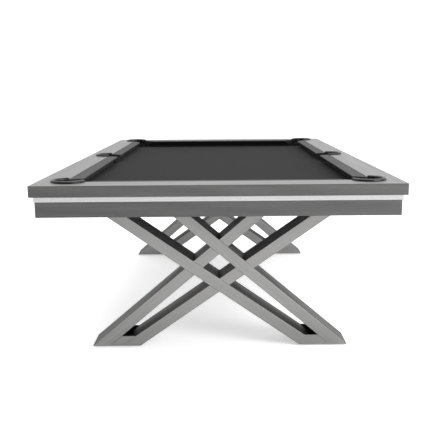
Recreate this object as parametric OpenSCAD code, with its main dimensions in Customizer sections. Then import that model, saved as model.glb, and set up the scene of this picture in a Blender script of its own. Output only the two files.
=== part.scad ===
// Pool table with six drop pockets on two crossed-tube steel legs: a three-piece
// slate bed, mitred wooden rails with cloth-covered cushions, a bright metal strip
// between the rails and the apron, and four screw levelling feet.
// Millimetres. The origin is on the floor under the middle of the bed. +Y runs
// along the table and +Z is up; "front" is -Y and "left" is -X.

/* [Playing field] */
// Distance between the noses of the side cushions
play_w = 1118; // [930:1:1420]
// Distance between the noses of the end cushions
play_l = 2236; // [1860:1:2840]
// Height of the rail tops above the floor
rail_top = 770; // [700:1:950]

/* [Rails and cushions] */
// Height of the wooden rail, as its outer face shows it
rail_h = 45; // [38:1:90]
// Width of the bare wooden rail top
rail_w = 116; // [100:1:160]
// Width of the cloth-covered part of the rail
cushion_w = 52; // [44:1:62]
// Thickness of the rail's top board over the sub-rail
cap_t = 22; // [15:1:26]
// Width of the lip that hides the edge of the slate
lip_w = 40; // [25:1:45]
// Height of the rail tops above the cloth
rail_over_bed = 42; // [38:0.5:48]
// Height of the cushion nose above the cloth
nose_h = 36.3; // [35:0.1:37]
// Depth of the cushion rubber behind its nose
rubber_d = 30; // [24:1:36]
// Radius of the cushion nose
nose_r = 3.2; // [2:0.1:5]
// Angle of the cushion's underside below the horizontal, in degrees
undercut = 42; // [36:1:45]
// Width of the feather strip that clamps the cloth
feather_w = 6; // [4:0.5:8]
// Depth of the feather strip
feather_h = 9; // [5:0.5:12]
// Radius of the eased edges of the wooden rails
rail_ease = 1.5; // [0.5:0.1:4]
// Radius of the upright corners of the rails and the apron
corner_round = 6; // [2:0.5:12]
// Thickness of the cloth
cloth_t = 1; // [0.6:0.1:1.5]

/* [Bed] */
// Thickness of the slates
slate_t = 25; // [19:1:30]
// Distance that the slates reach out under the rails, past the noses
slate_lap = 100; // [92:1:105]
// Thickness of the wooden liner boards under the slates
liner_t = 18; // [12:1:25]

/* [Pockets] */
// Distance of a corner pocket's centre beyond each nose line
corner_set = 38; // [34:1:44]
// Distance of a side pocket's centre beyond the nose line
side_set = 59; // [54:1:66]
// Radius of the pocket hole
pocket_r = 55; // [52:0.5:60]
// Thickness of the collar's wall
collar_t = 11; // [6:0.5:14]
// Width by which the collar's rolled top laps over the wood
collar_lap = 5; // [3:0.5:9]
// Height of the collar's crown above the rail tops
collar_rise = 10; // [3:0.5:14]
// Corner mouth between the cushion tips
corner_mouth = 122; // [112:1:128]
// Angle of the corner facings from the nose line, in degrees
corner_facing = 38; // [36:1:40]
// Side mouth between the cushion tips
side_mouth = 130; // [122:1:138]
// Angle of the side facings, in degrees
side_facing = 12; // [8:1:16]
// Thickness of the rubber facings
facing_t = 3; // [2:0.5:5]
// Thickness of the basket's wall
basket_t = 3; // [2:0.5:5]
// Depth of the basket below the cloth
basket_d = 94; // [85:1:130]
// Number of panels that the basket's wall is sewn from
basket_panels = 8; // [8:4:12]

/* [Apron] */
// Height of the bright strip
strip_h = 20; // [12:1:30]
// Width of the strip's tube section
strip_w = 22; // [16:1:30]
// Wall of the strip's tube section
strip_wall = 2; // [1.5:0.5:3]
// Distance of the strip's face behind the rail's outer face
strip_inset = 16; // [6:1:24]
// Height of the apron boards
apron_h = 61; // [45:1:120]
// Thickness of the apron boards
apron_t = 20; // [15:1:24]
// Distance of the apron's face behind the rail's outer face
apron_inset = 18; // [8:1:26]
// Length of the corner blocks' sides
block_l = 88; // [50:1:92]

/* [Subframe] */
// Height of the subframe's tubes
frame_h = 40; // [30:1:60]
// Width of the long tubes
beam_w = 80; // [60:1:90]
// Width of the cross tubes
cross_w = 60; // [40:1:70]
// Wall of the subframe's tubes
frame_wall = 3; // [2:0.5:4]
// Gap between the long tubes and the corner baskets
beam_clear = 15; // [8:1:30]

/* [Legs] */
// Width of the leg tubes, seen from the table's end
tube_w = 50; // [40:1:56]
// Depth of the leg tubes along the table
tube_d = 150; // [110:1:180]
// Wall of the leg tubes
tube_wall = 3; // [2:0.5:5]
// Distance of the legs' outer faces from the table's ends
leg_inset = 327; // [300:1:450]
// Middle of a steep tube at the floor, from the table's centre
foot_steep = 535; // [525:1:560]
// Middle of a steep tube at its top, past the centre
head_steep = 223; // [180:1:260]
// Middle of a shallow tube at the floor, from the table's centre
foot_shallow = 405; // [380:1:415]
// Middle of a shallow tube at its top, past the centre
head_shallow = 518; // [490:1:530]
// Height of the gussets above the floor
gusset_top = 51; // [40:1:80]
// Thickness of the gussets
gusset_t = 10; // [5:1:15]
// Thickness of the foot plates
foot_plate_t = 6; // [4:1:10]
// Thickness of the plates that bolt to the subframe
head_plate_t = 8; // [5:1:12]
// Width by which a head plate stands out at each side of the tubes
head_plate_lap = 25; // [22:1:40]

/* [Levelling feet] */
// Gap between the floor and the foot plates, with the feet screwed in
foot_gap = 6; // [6:0.5:12]
// Radius of the pads
pad_r = 31; // [22:1:36]
// Radius of the studs
stud_r = 6; // [5:0.5:8]
// Radius of the flange on which a stud turns in its pad
flange_r = 8; // [7.5:0.5:12]
// Height of the studs' tips above the floor
stud_top = 27; // [25:1:28]
// Height of the welded nuts
nut_h = 10; // [8:1:14]

/* [Fasteners] */
// Radius of the rail bolts
rail_bolt_r = 4; // [3:0.5:5]
// Distance between rail bolts along a rail
rail_bolt_pitch = 280; // [240:1:280]
// Distance of the rail bolts beyond the nose line
rail_bolt_set = 78; // [74:1:82]
// Radius of the slate screws
slate_screw_r = 3; // [2:0.5:4]
// Distance of the slate screws from the slate joints
slate_screw_inset = 24; // [18:1:40]
// Radius of the leg bolts
leg_bolt_r = 5; // [4:0.5:6]

/* [Fits] */
// Gap between pieces that stand side by side, as collars in the wood and boards at a joint
seat_gap = 0.3; // [0.2:0.05:0.5]
// Radial clearance of the studs in their nuts and pads
thread_clear = 0.06; // [0.02:0.01:0.1]
// Radial clearance of bolts and screws in their holes
bolt_clear = 0.5; // [0.3:0.1:2]
// Radial clearance of the rail bolts in the slate, for aligning the rails
slate_bolt_clear = 4; // [2:0.5:6]
// Gap between a basket and the slate or liner around it
basket_gap = 2.8; // [1.5:0.1:4]

/* [Hidden] */
$fn = 96;
CORNERS = [["front_left", -1, -1], ["front_right", 1, -1], ["rear_left", -1, 1], ["rear_right", 1, 1]];
SIDES = [["side_left", -1, 0], ["side_right", 1, 0]];
POCKETS = concat(CORNERS, SIDES);
// Rails and their cushions: name, side of the table in X (0 for an end), end in Y
RUNS = [["front", 0, -1], ["rear", 0, 1], ["left_front", -1, -1], ["left_rear", -1, 1],
    ["right_front", 1, -1], ["right_rear", 1, 1]];
EDGES = [["front", 0, -1], ["rear", 0, 1], ["left", -1, 0], ["right", 1, 0]];
SLATES = [["front", -1], ["centre", 0], ["rear", 1]];
LEGS = [["front", 0], ["rear", 180]];

wood = "#6d6d6d";
pale_wood = "#c9b48c";
cloth = "#3f3f3f";
steel = "#8f8f8f";
leather = "#1a1a1a";

// Half sizes of the playing field, and the outer corner of the rails
hx = play_w/2;
hy = play_l/2;
rail_out = cushion_w + rail_w;
ox = hx + rail_out;
oy = hy + rail_out;

// Levels, from the rail tops down
bed_z = rail_top - rail_over_bed;
slate_top = bed_z - cloth_t;
slate_bottom = slate_top - slate_t;
frame_top = slate_bottom - liner_t;
frame_bottom = frame_top - frame_h;
rail_bottom = rail_top - rail_h;
cap_bottom = rail_top - cap_t;
strip_bottom = rail_bottom - strip_h;
apron_bottom = strip_bottom - apron_h;
nose_z = bed_z + nose_h;

// Plan places
groove_u = cushion_w - feather_w;
apron_in = apron_inset + apron_t;
slate_hx = hx + slate_lap;
slate_hy = hy + slate_lap;
slate_len = 2*slate_hy/len(SLATES);
joint_y = slate_len/2;
corner_xy = [hx + corner_set, hy + corner_set];
side_xy = [hx + side_set, 0];
collar_out = pocket_r + collar_t;
basket_r = pocket_r - seat_gap;
slate_cut_r = basket_r + basket_gap;
liner_cut_r = slate_cut_r + basket_gap;
beam_out = corner_xy[0] - basket_r - beam_clear;
beam_mid = beam_out - beam_w/2;
beam_in = beam_out - beam_w;
beam_end = oy - apron_in - block_l/2;
end_cross_y = hy + rail_bolt_set - 4*rail_bolt_r - cross_w/2;
leg_y = oy - leg_inset - tube_d/2;
cross_off = tube_d/2 + head_plate_lap - cross_w/2;
leg_bolt_off = tube_d/2 + head_plate_lap/2;
leg_bolt_x = head_steep/2;
screw_x = beam_out - slate_screw_inset/2;
liner_end_y = hy - 2*slate_screw_inset;
joint_board_w = 4*slate_screw_inset;

// Half angles of the collars about their outward direction: their arms end at the cushions' backs
corner_arc = 135 - asin((cushion_w - corner_set)/collar_out);
side_arc = 90 + asin((side_set - cushion_w)/collar_out);

// Levels and lengths in a leg
plate_top = foot_gap + foot_plate_t;
leg_top = frame_bottom - head_plate_t;
STEEP = [foot_steep, -head_steep];
SHALLOW = [foot_shallow, -head_shallow];
foot_x = (beam_edge(SHALLOW, plate_top, 1) + beam_edge(STEEP, plate_top, -1))/2;
hex_ratio = 1/cos(30);
nut_r = 1.6*stud_r*hex_ratio;
pad_h = foot_gap - seat_gap;
flange_h = pad_h/2;

tall = 2*rail_top;
over = 1;
screw_head_z = slate_top - over - 2*slate_screw_r;

function arc(c, r, a0, a1, n = 6) =
    [for (i = [0:n]) c + r*[cos(a0 + (a1 - a0)*i/n), sin(a0 + (a1 - a0)*i/n)]];
function flip(b) = [-b[0], -b[1]];
function beam_lean(b) = (b[1] - b[0])/frame_bottom;
// X of a leg tube's face at height z: side is -1 or 1 for its faces, 0 for its middle
function beam_edge(b, z, side, w = tube_w) =
    b[0] + beam_lean(b)*z + side*w/2*sqrt(1 + pow(beam_lean(b), 2));

// ---- Cushion section, in distance out from the nose line and height
nose_c = [nose_r, nose_z];
nose_from = 87;
nose_to = 270 - undercut;
function nose_end(o) = nose_c + (nose_r - o)*[cos(nose_to), sin(nose_to)];
function nose_start(o) = nose_c + (nose_r - o)*[cos(nose_from), sin(nose_from)];
function under_z(u, o) = nose_end(o)[1] - tan(undercut)*(u - nose_end(o)[0]);
function top_z(u, o) = nose_start(o)[1]
    + (rail_top - o - nose_start(o)[1])*(u - nose_start(o)[0])/(groove_u - nose_start(o)[0]);

module rubber_section() {
    polygon(concat([[rubber_d, top_z(rubber_d, cloth_t)]], arc(nose_c, nose_r - cloth_t, nose_from, nose_to),
        [[rubber_d, under_z(rubber_d, cloth_t)]]));
}

// The nose, the tall part of the sub-rail and everything between them, without the cloth
module core_section() {
    polygon(concat([[groove_u, top_z(groove_u, cloth_t)]], arc(nose_c, nose_r - cloth_t, nose_from, nose_to),
        [[rubber_d, under_z(rubber_d, cloth_t)], [rubber_d, bed_z], [groove_u, bed_z]]));
}

module cloth_section() {
    skirt = rubber_d - cloth_t;
    polygon(concat([[groove_u, rail_top]], arc(nose_c, nose_r, nose_from, nose_to),
        [[skirt, under_z(skirt, 0)], [skirt, bed_z], [rubber_d, bed_z],
            [rubber_d, under_z(rubber_d, cloth_t)]],
        arc(nose_c, nose_r - cloth_t, nose_to, nose_from), [[groove_u, top_z(groove_u, cloth_t)]]));
}

module subrail_section() {
    polygon([[rubber_d, bed_z], [rail_out - lip_w, bed_z], [rail_out - lip_w, cap_bottom],
        [cushion_w, cap_bottom], [cushion_w, rail_top - feather_h], [groove_u, rail_top - feather_h],
        [groove_u, top_z(groove_u, cloth_t)],
        [rubber_d, top_z(rubber_d, cloth_t)]]);
}

module cap_section() {
    e = rail_ease;
    polygon(concat([[cushion_w, rail_top]], arc([rail_out - e, rail_top - e], e, 90, 0),
        arc([rail_out - e, rail_bottom + e], e, 0, -90),
        [[rail_out - lip_w, rail_bottom], [rail_out - lip_w, cap_bottom], [cushion_w, cap_bottom]]));
}

// ---- Plan cuts, all in the quadrant where X and Y are positive
module in_quadrant(sx, sy) {
    mirror([sx < 0 ? 1 : 0, 0, 0]) mirror([0, sy < 0 ? 1 : 0, 0]) children();
}

// Opening between the two facings of a corner pocket, wider by grow on each side
module corner_mouth_plan(grow) {
    f = corner_facing;
    tip = corner_mouth/sqrt(2);
    p = [hx - tip, hy] + grow*[-sin(f), cos(f)];
    q = [hx, hy - tip] + grow*[cos(f), -sin(f)];
    before = cushion_w;
    beyond = pocket_r + corner_set;
    polygon([p - before*[cos(f), sin(f)], p + beyond*[cos(f), sin(f)],
        q + beyond*[sin(f), cos(f)], q - before*[sin(f), cos(f)]]);
}

module side_mouth_plan(grow) {
    half = side_mouth/2 + grow/cos(side_facing);
    near = half + corner_set*tan(side_facing);
    far = half - side_set*tan(side_facing);
    polygon([[hx - corner_set, near], [hx + side_set, far], [hx + side_set, -far], [hx - corner_set, -near]]);
}

module corner_cut(grow, r) {
    linear_extrude(tall) {
        corner_mouth_plan(grow);
        translate(corner_xy) circle(r);
    }
}

module side_cut(grow, r) {
    linear_extrude(tall) {
        side_mouth_plan(grow);
        translate(side_xy) circle(r);
    }
}

// Mitred length of a section along one edge: half is the nose line's distance, other its half length
module edge_solid(half, other) {
    reach = other + rail_out;
    intersection() {
        rotate([90, 0, 0]) linear_extrude(2*reach, center = true) translate([half, 0]) children();
        linear_extrude(tall) polygon([[half - cushion_w, -other + cushion_w],
            [half + rail_out + over, -reach - over], [half + rail_out + over, reach + over],
            [half - cushion_w, other - cushion_w]]);
    }
}

// Everything inside the table's outline, moved in by inset, with rounded corners
module in_outline(inset) {
    x = ox - inset;
    y = oy - inset;
    intersection() {
        children();
        linear_extrude(tall) {
            square([2*(x - corner_round), 2*y], center = true);
            square([2*x, 2*(y - corner_round)], center = true);
            for (c = CORNERS)
                translate([c[1]*(x - corner_round), c[2]*(y - corner_round)]) circle(corner_round);
        }
    }
}

// Thin gaps that part the four mitred lengths at the table's corners
module mitre_gaps() {
    for (c = CORNERS) in_quadrant(c[1], c[2]) translate([hx, hy, 0]) rotate([0, 0, 45])
        translate([0, -seat_gap/2, 0]) cube([2*rail_out, seat_gap, tall]);
}

// A section along the edge named by its signs: an end when sx is 0
module edge(sx, sy) {
    if (sx == 0) in_quadrant(1, sy) rotate([0, 0, 90]) edge_solid(hy, hx) children();
    else in_quadrant(sx, 1) edge_solid(hx, hy) children();
}

// The same edge with its pockets cut out, for pieces that the pockets interrupt
module pocketed_edge(sx, sy, grow, r) {
    difference() {
        edge(sx, sy) children();
        for (c = CORNERS) if (c[1] == sx || c[2] == sy) in_quadrant(c[1], c[2]) corner_cut(grow, r);
        if (sx != 0) in_quadrant(sx, 1) side_cut(grow, r);
    }
}

// One rail's run of a section: a whole end, or half of a side
module rail_run(r, grow) {
    if (r[1] == 0) pocketed_edge(0, r[2], grow, collar_out + seat_gap) children();
    else intersection() {
        pocketed_edge(r[1], 0, grow, collar_out + seat_gap) children();
        in_quadrant(r[1], r[2]) translate([0, seat_gap/2, 0]) cube([ox, oy, tall]);
    }
}

// ---- Places of the fasteners
rail_bolt_xy = concat(
    [for (sy = [-1, 1]) for (k = [-1:1]) [k*rail_bolt_pitch, sy*(hy + rail_bolt_set)]],
    [for (sx = [-1, 1]) for (sy = [-1, 1]) for (k = [1:3]) [sx*(hx + rail_bolt_set), sy*k*rail_bolt_pitch]]);
screw_y = concat([for (s = [-1, 1]) for (k = [-1, 1]) s*joint_y + k*slate_screw_inset],
    [for (s = [-1, 1]) s*(hy - slate_screw_inset)]);
slate_screw_xy = [for (y = screw_y) for (x = [-screw_x, 0, screw_x]) [x, y]];
leg_bolt_xy = [for (sy = [-1, 1]) for (k = [-1, 1]) for (x = [-beam_mid, -leg_bolt_x, leg_bolt_x, beam_mid])
    [x, sy*leg_y + k*leg_bolt_off]];

// Holes of depth h, from z = 0 up
module drill(places, r, h = tall) {
    for (p = places) translate([p[0], p[1], 0]) cylinder(r = r, h = h);
}

// ---- Bed
module bed_plan() {
    difference() {
        square([2*slate_hx, 2*slate_hy], center = true);
        for (c = CORNERS) in_quadrant(c[1], c[2]) {
            translate(corner_xy) circle(slate_cut_r);
            translate(corner_xy - [slate_cut_r, 0]) square(slate_lap + slate_cut_r);
            translate(corner_xy - [0, slate_cut_r]) square(slate_lap + slate_cut_r);
        }
        for (s = SIDES) in_quadrant(s[1], 1) translate(side_xy) circle(slate_cut_r);
    }
}

module slate(s) {
    color("#55585a") difference() {
        translate([0, 0, slate_bottom]) linear_extrude(slate_t) intersection() {
            bed_plan();
            translate([0, s[1]*slate_len]) square([2*slate_hx, slate_len], center = true);
        }
        drill(rail_bolt_xy, rail_bolt_r + slate_bolt_clear);
        drill(slate_screw_xy, slate_screw_r + bolt_clear);
        for (p = slate_screw_xy) translate([p[0], p[1], screw_head_z]) screw_head(bolt_clear);
        translate([0, 0, slate_top - over]) drill(slate_screw_xy, 2*slate_screw_r + bolt_clear);
    }
}

module bed_cloth() {
    color(cloth) difference() {
        translate([0, 0, slate_top]) linear_extrude(cloth_t) bed_plan();
        drill(rail_bolt_xy, rail_bolt_r + slate_bolt_clear);
    }
}

// Boards that stop square at the pockets: four along the sides, one at each end, one under each slate joint
module slate_liners() {
    end_x = corner_xy[0] - liner_cut_r;
    joint_x = beam_in - seat_gap;
    side_l = liner_end_y - seat_gap - liner_cut_r;
    color(pale_wood) difference() {
        translate([0, 0, frame_top]) linear_extrude(liner_t) {
            for (c = CORNERS) in_quadrant(c[1], c[2]) translate([beam_in, liner_cut_r])
                square([ox - apron_in - beam_in, side_l]);
            for (sy = [-1, 1]) in_quadrant(1, sy) {
                translate([-end_x, liner_end_y]) square([2*end_x, oy - apron_in - liner_end_y]);
                translate([-joint_x, joint_y - joint_board_w/2]) square([2*joint_x, joint_board_w]);
            }
        }
        drill(rail_bolt_xy, rail_bolt_r + bolt_clear);
        drill(slate_screw_xy, slate_screw_r);
    }
}

// ---- Rails and cushions
module rail(r) {
    color(wood) in_outline(0) rail_run(r, 0) cap_section();
}

// The sub-rails stop square at the pockets, where the top boards go on around them
module subrails() {
    stop = collar_out + seat_gap;
    color(pale_wood) difference() {
        for (r = RUNS) rail_run(r, facing_t) subrail_section();
        for (c = CORNERS) in_quadrant(c[1], c[2]) {
            translate([corner_xy[0] - stop, corner_xy[1], 0]) cube([rail_out + stop, rail_out, tall]);
            translate([corner_xy[0], corner_xy[1] - stop, 0]) cube([rail_out, rail_out + stop, tall]);
        }
        for (s = SIDES) in_quadrant(s[1], 1) translate([side_xy[0], -stop, 0]) cube([rail_out, 2*stop, tall]);
        translate([0, 0, bed_z - over]) drill(rail_bolt_xy, rail_bolt_r, cap_bottom - bed_z);
    }
}

module cushion(r) {
    color("#2b2b2b") rail_run(r, facing_t) rubber_section();
}

module cushion_cloths() {
    color(cloth) for (r = RUNS) rail_run(r, 0) cloth_section();
}

module feather_strips() {
    color(cloth) for (r = RUNS) rail_run(r, 0)
        translate([groove_u, rail_top - feather_h]) square([feather_w, feather_h]);
}

// Each facing is the slice of the cushion and sub-rail between the plain mouth and the grown one
module cushion_facings() {
    color(leather) for (r = RUNS) difference() {
        rail_run(r, 0) core_section();
        rail_run(r, facing_t) core_section();
    }
}

// ---- Pockets
module at_pocket(p) {
    in_quadrant(p[1], p[2]) translate(p[2] == 0 ? side_xy : corner_xy)
        rotate([0, 0, p[2] == 0 ? 0 : 45]) children();
}

module pocket_arc(p) {
    half = p[2] == 0 ? side_arc : corner_arc;
    rotate([0, 0, -half]) rotate_extrude(angle = 2*half) children();
}

module collar(p) {
    mid = pocket_r + (collar_t + collar_lap)/2;
    half = (collar_t + collar_lap)/2;
    roll_z = rail_top + seat_gap;
    color(leather) at_pocket(p) pocket_arc(p) {
        polygon([[pocket_r, bed_z + seat_gap], [collar_out, bed_z + seat_gap], [collar_out, roll_z + over],
            [pocket_r, roll_z + over]]);
        polygon([for (a = [0:15:180]) [mid + half*cos(a), roll_z + (collar_rise - seat_gap)*sin(a)]]);
    }
}

// A base disc, a cup of lower panels and a wall of upper panels, with sewn seams between them all.
// The wall rises behind the collar and stops at the bed's level across the mouth.
module basket(p) {
    waist = slate_bottom - liner_t;
    base = bed_z - basket_d;
    brim = bed_z + basket_r/3;
    toe = 0.7*basket_r;
    half = p[2] == 0 ? side_arc : corner_arc;
    low_panel = 720/basket_panels;
    low_turn = p[2] == 0 ? low_panel/2 : 0;
    color(leather) at_pocket(p) {
        translate([0, 0, base]) cylinder(r = toe - basket_t - seat_gap, h = basket_t);
        difference() {
            rotate_extrude() polygon([[toe - basket_t, base], [toe, base], [basket_r, waist],
                [basket_r - basket_t, waist], [toe - basket_t, base + basket_t]]);
            seams([for (i = [1:basket_panels/2]) i*low_panel + low_turn], base - over);
        }
        difference() {
            rotate_extrude() translate([basket_r - basket_t, waist + seat_gap])
                square([basket_t, brim - waist - seat_gap]);
            seams(concat([for (i = [1:basket_panels]) i*low_panel/2], [half, -half]), waist);
            translate([0, 0, slate_top - over]) linear_extrude(tall) polygon([[0, 0],
                2*basket_r*[cos(half), sin(half)], [-2*basket_r, 2*basket_r],
                [-2*basket_r, -2*basket_r], 2*basket_r*[cos(half), -sin(half)]]);
        }
    }
}

module seams(angles, z) {
    for (a = angles) rotate([0, 0, a]) translate([0, -seat_gap/2, z]) cube([tall, seat_gap, tall]);
}

// ---- Apron
module apron(e) {
    color(wood) in_outline(apron_inset) edge(e[1], e[2]) translate([rail_out - apron_in, apron_bottom])
        square([apron_t, apron_h]);
}

module accent_strips() {
    color("#e2e2e2") difference() {
        for (e = EDGES) edge(e[1], e[2])
            translate([rail_out - strip_inset - strip_w, strip_bottom]) difference() {
            square([strip_w, strip_h]);
            translate([strip_wall, strip_wall]) square([strip_w - 2*strip_wall, strip_h - 2*strip_wall]);
        }
        mitre_gaps();
    }
}

module corner_blocks() {
    color(pale_wood) for (c = CORNERS) in_quadrant(c[1], c[2])
        translate([ox - apron_in, oy - apron_in, apron_bottom])
        linear_extrude(frame_top - apron_bottom) polygon([[0, 0], [-block_l, 0], [0, -block_l]]);
}

// ---- Subframe
module box_tube(w, l) {
    difference() {
        cube([w, l, frame_h], center = true);
        cube([w - 2*frame_wall, l + over, frame_h - 2*frame_wall], center = true);
    }
}

// Two long tubes and the cross tubes welded between them, each with its weld gap
module subframe() {
    places = concat([for (s = [-1, 1]) s*joint_y], [for (s = [-1, 1]) s*end_cross_y],
        [for (s = [-1, 1]) for (k = [-1, 1]) s*leg_y + k*cross_off]);
    color("#3a3a3a") difference() {
        translate([0, 0, frame_top - frame_h/2]) {
            for (s = [-1, 1]) translate([s*beam_mid, 0, 0]) box_tube(beam_w, 2*beam_end);
            for (y = places) translate([0, y, 0])
                rotate([0, 0, 90]) box_tube(cross_w, 2*(beam_in - seat_gap));
        }
        drill(leg_bolt_xy, leg_bolt_r + bolt_clear, frame_bottom + frame_h/2);
    }
}

// ---- Legs, each drawn about the table's centre with its through tubes falling to +X
module at_leg(l) {
    rotate([0, 0, l[1]]) translate([0, -leg_y, 0]) children();
}

module upright(d) {
    rotate([90, 0, 0]) linear_extrude(d, center = true) children();
}

module beam_section(b, w, z0, z1) {
    polygon([[beam_edge(b, z0, -1, w), z0], [beam_edge(b, z0, 1, w), z0],
        [beam_edge(b, z1, 1, w), z1], [beam_edge(b, z1, -1, w), z1]]);
}

module leg_tube(b) {
    difference() {
        upright(tube_d) beam_section(b, tube_w, plate_top, leg_top);
        upright(tube_d - 2*tube_wall) beam_section(b, tube_w - 2*tube_wall, plate_top - over, leg_top + over);
    }
}

module leg_through_steep(l) {
    color(steel) at_leg(l) leg_tube(STEEP);
}

module leg_through_shallow(l) {
    color(steel) at_leg(l) leg_tube(SHALLOW);
}

// The tubes that fall to -X are cut through by the others
module leg_spliced(l) {
    color(steel) at_leg(l) difference() {
        for (b = [STEEP, SHALLOW]) leg_tube(flip(b));
        for (b = [STEEP, SHALLOW])
            upright(tube_d + over) beam_section(b, tube_w, plate_top - over, leg_top + over);
    }
}

module leg_gussets() {
    color(steel) for (l = LEGS) at_leg(l) for (s = [-1, 1]) in_quadrant(s, 1) for (k = [-1, 1])
        translate([0, k*(tube_d - gusset_t)/2, 0]) upright(gusset_t)
            polygon([[beam_edge(SHALLOW, plate_top, 1), plate_top],
                [beam_edge(STEEP, plate_top, -1), plate_top],
                [beam_edge(STEEP, gusset_top, -1), gusset_top],
                [beam_edge(SHALLOW, gusset_top, 1), gusset_top]]);
}

module foot_plates() {
    color(steel) for (l = LEGS) at_leg(l) for (s = [-1, 1]) in_quadrant(s, 1) difference() {
        union() {
            upright(tube_d) polygon([[beam_edge(SHALLOW, foot_gap, -1), foot_gap],
                [beam_edge(STEEP, foot_gap, 1), foot_gap], [beam_edge(STEEP, plate_top, 1), plate_top],
                [beam_edge(SHALLOW, plate_top, -1), plate_top]]);
            translate([foot_x, 0, foot_gap]) cylinder(r = nut_r, h = foot_plate_t + nut_h, $fn = 6);
        }
        translate([foot_x, 0, 0]) cylinder(r = stud_r + thread_clear, h = gusset_top);
    }
}

module head_plates() {
    reach = -beam_edge(SHALLOW, leg_top, -1) + head_plate_lap/2;
    color(steel) difference() {
        for (l = LEGS) at_leg(l) translate([-reach, -tube_d/2 - head_plate_lap, leg_top])
            cube([2*reach, tube_d + 2*head_plate_lap, head_plate_t]);
        drill(leg_bolt_xy, leg_bolt_r + bolt_clear);
    }
}

// ---- Levelling feet
module leveler_pad(c) {
    color("#222222") translate([c[1]*foot_x, c[2]*leg_y, 0]) difference() {
        cylinder(r1 = pad_r, r2 = pad_r - over, h = pad_h);
        translate([0, 0, pad_h - flange_h - thread_clear]) cylinder(r = flange_r + thread_clear, h = pad_h);
    }
}

module leveler_stud(c) {
    color("silver") translate([c[1]*foot_x, c[2]*leg_y, 0]) {
        translate([0, 0, pad_h - flange_h]) cylinder(r = flange_r, h = flange_h);
        translate([0, 0, pad_h - flange_h]) cylinder(r = stud_r, h = stud_top - pad_h + flange_h);
    }
}

// ---- Fasteners
module screw_head(grow) {
    cylinder(r1 = slate_screw_r + grow, r2 = 2*slate_screw_r + grow, h = 2*slate_screw_r);
}

module rail_bolts() {
    head = 1.5*rail_bolt_r;
    color("silver") for (p = rail_bolt_xy) translate([p[0], p[1], frame_top]) {
        translate([0, 0, -head]) cylinder(r = 2*rail_bolt_r, h = head);
        cylinder(r = rail_bolt_r, h = cap_bottom - frame_top - 2*over);
    }
}

module slate_screws() {
    tip_z = frame_top + 2*over;
    color("silver") for (p = slate_screw_xy) translate([p[0], p[1], 0]) {
        translate([0, 0, tip_z]) cylinder(r = slate_screw_r, h = screw_head_z - tip_z);
        translate([0, 0, screw_head_z]) screw_head(0);
    }
}

module leg_bolts() {
    head = 1.3*leg_bolt_r;
    shank = head_plate_t + frame_wall + 2*head;
    color("silver") for (p = leg_bolt_xy) translate([p[0], p[1], leg_top]) {
        translate([0, 0, -head]) cylinder(r = 1.7*leg_bolt_r, h = head);
        cylinder(r = leg_bolt_r, h = shank);
        translate([0, 0, head_plate_t + frame_wall])
            cylinder(r = 1.7*leg_bolt_r*hex_ratio, h = head, $fn = 6);
    }
}

for (s = SLATES) slate(s);
slate_liners();
bed_cloth();
for (r = RUNS) rail(r);
subrails();
for (r = RUNS) cushion(r);
cushion_cloths();
feather_strips();
cushion_facings();
for (p = POCKETS) collar(p);
for (p = POCKETS) basket(p);
for (e = EDGES) apron(e);
accent_strips();
corner_blocks();
subframe();
for (l = LEGS) leg_through_steep(l);
for (l = LEGS) leg_through_shallow(l);
for (l = LEGS) leg_spliced(l);
leg_gussets();
foot_plates();
head_plates();
for (c = CORNERS) leveler_pad(c);
for (c = CORNERS) leveler_stud(c);
rail_bolts();
slate_screws();
leg_bolts();
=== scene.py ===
import math
import bmesh
import bpy
from mathutils import Matrix, Vector


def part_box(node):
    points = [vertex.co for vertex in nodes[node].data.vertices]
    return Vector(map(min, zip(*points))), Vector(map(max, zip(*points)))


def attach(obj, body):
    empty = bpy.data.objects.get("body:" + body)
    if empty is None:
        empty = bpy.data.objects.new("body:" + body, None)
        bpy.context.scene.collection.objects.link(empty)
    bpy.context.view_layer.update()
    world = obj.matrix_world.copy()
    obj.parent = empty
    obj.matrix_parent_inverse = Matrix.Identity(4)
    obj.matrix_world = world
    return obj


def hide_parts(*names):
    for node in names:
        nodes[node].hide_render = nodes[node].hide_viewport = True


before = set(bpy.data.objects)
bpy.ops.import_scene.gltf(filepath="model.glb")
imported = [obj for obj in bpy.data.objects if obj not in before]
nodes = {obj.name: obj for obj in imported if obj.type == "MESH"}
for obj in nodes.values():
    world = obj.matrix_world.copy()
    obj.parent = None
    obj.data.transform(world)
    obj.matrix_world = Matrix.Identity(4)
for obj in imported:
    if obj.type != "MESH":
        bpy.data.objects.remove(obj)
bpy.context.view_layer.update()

scene = bpy.context.scene
tableBody = "table"

# the table's driving sizes, in metres and degrees, as the part has them
table = {
    "playWidth": 1.118, "playLength": 2.236,
    "railTop": 0.770, "bedTop": 0.728, "noseHeight": 0.0363,
    "cushionWidth": 0.052, "featherWidth": 0.006, "featherDepth": 0.009,
    "noseRadius": 0.0032, "rubberDepth": 0.030, "undercut": 42, "clothThick": 0.001,
    "cornerSet": 0.038, "sideSet": 0.059, "pocketRadius": 0.055, "collarWall": 0.011, "collarLap": 0.005,
    "collarRise": 0.010, "cornerMouth": 0.122, "cornerFacing": 38, "sideMouth": 0.130, "sideFacing": 12,
    "basketWall": 0.003, "gap": 0.0003, "basketGap": 0.0028,
}
halfWidth = table["playWidth"]/2
halfLength = table["playLength"]/2
collarOut = table["pocketRadius"] + table["collarWall"]
basketRadius = table["pocketRadius"] - table["gap"]
grooveOut = table["cushionWidth"] - table["featherWidth"]
cornerArc = 135 - math.degrees(math.asin((table["cushionWidth"] - table["cornerSet"])/collarOut))
sideArc = 90 + math.degrees(math.asin((table["sideSet"] - table["cushionWidth"])/collarOut))

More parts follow.
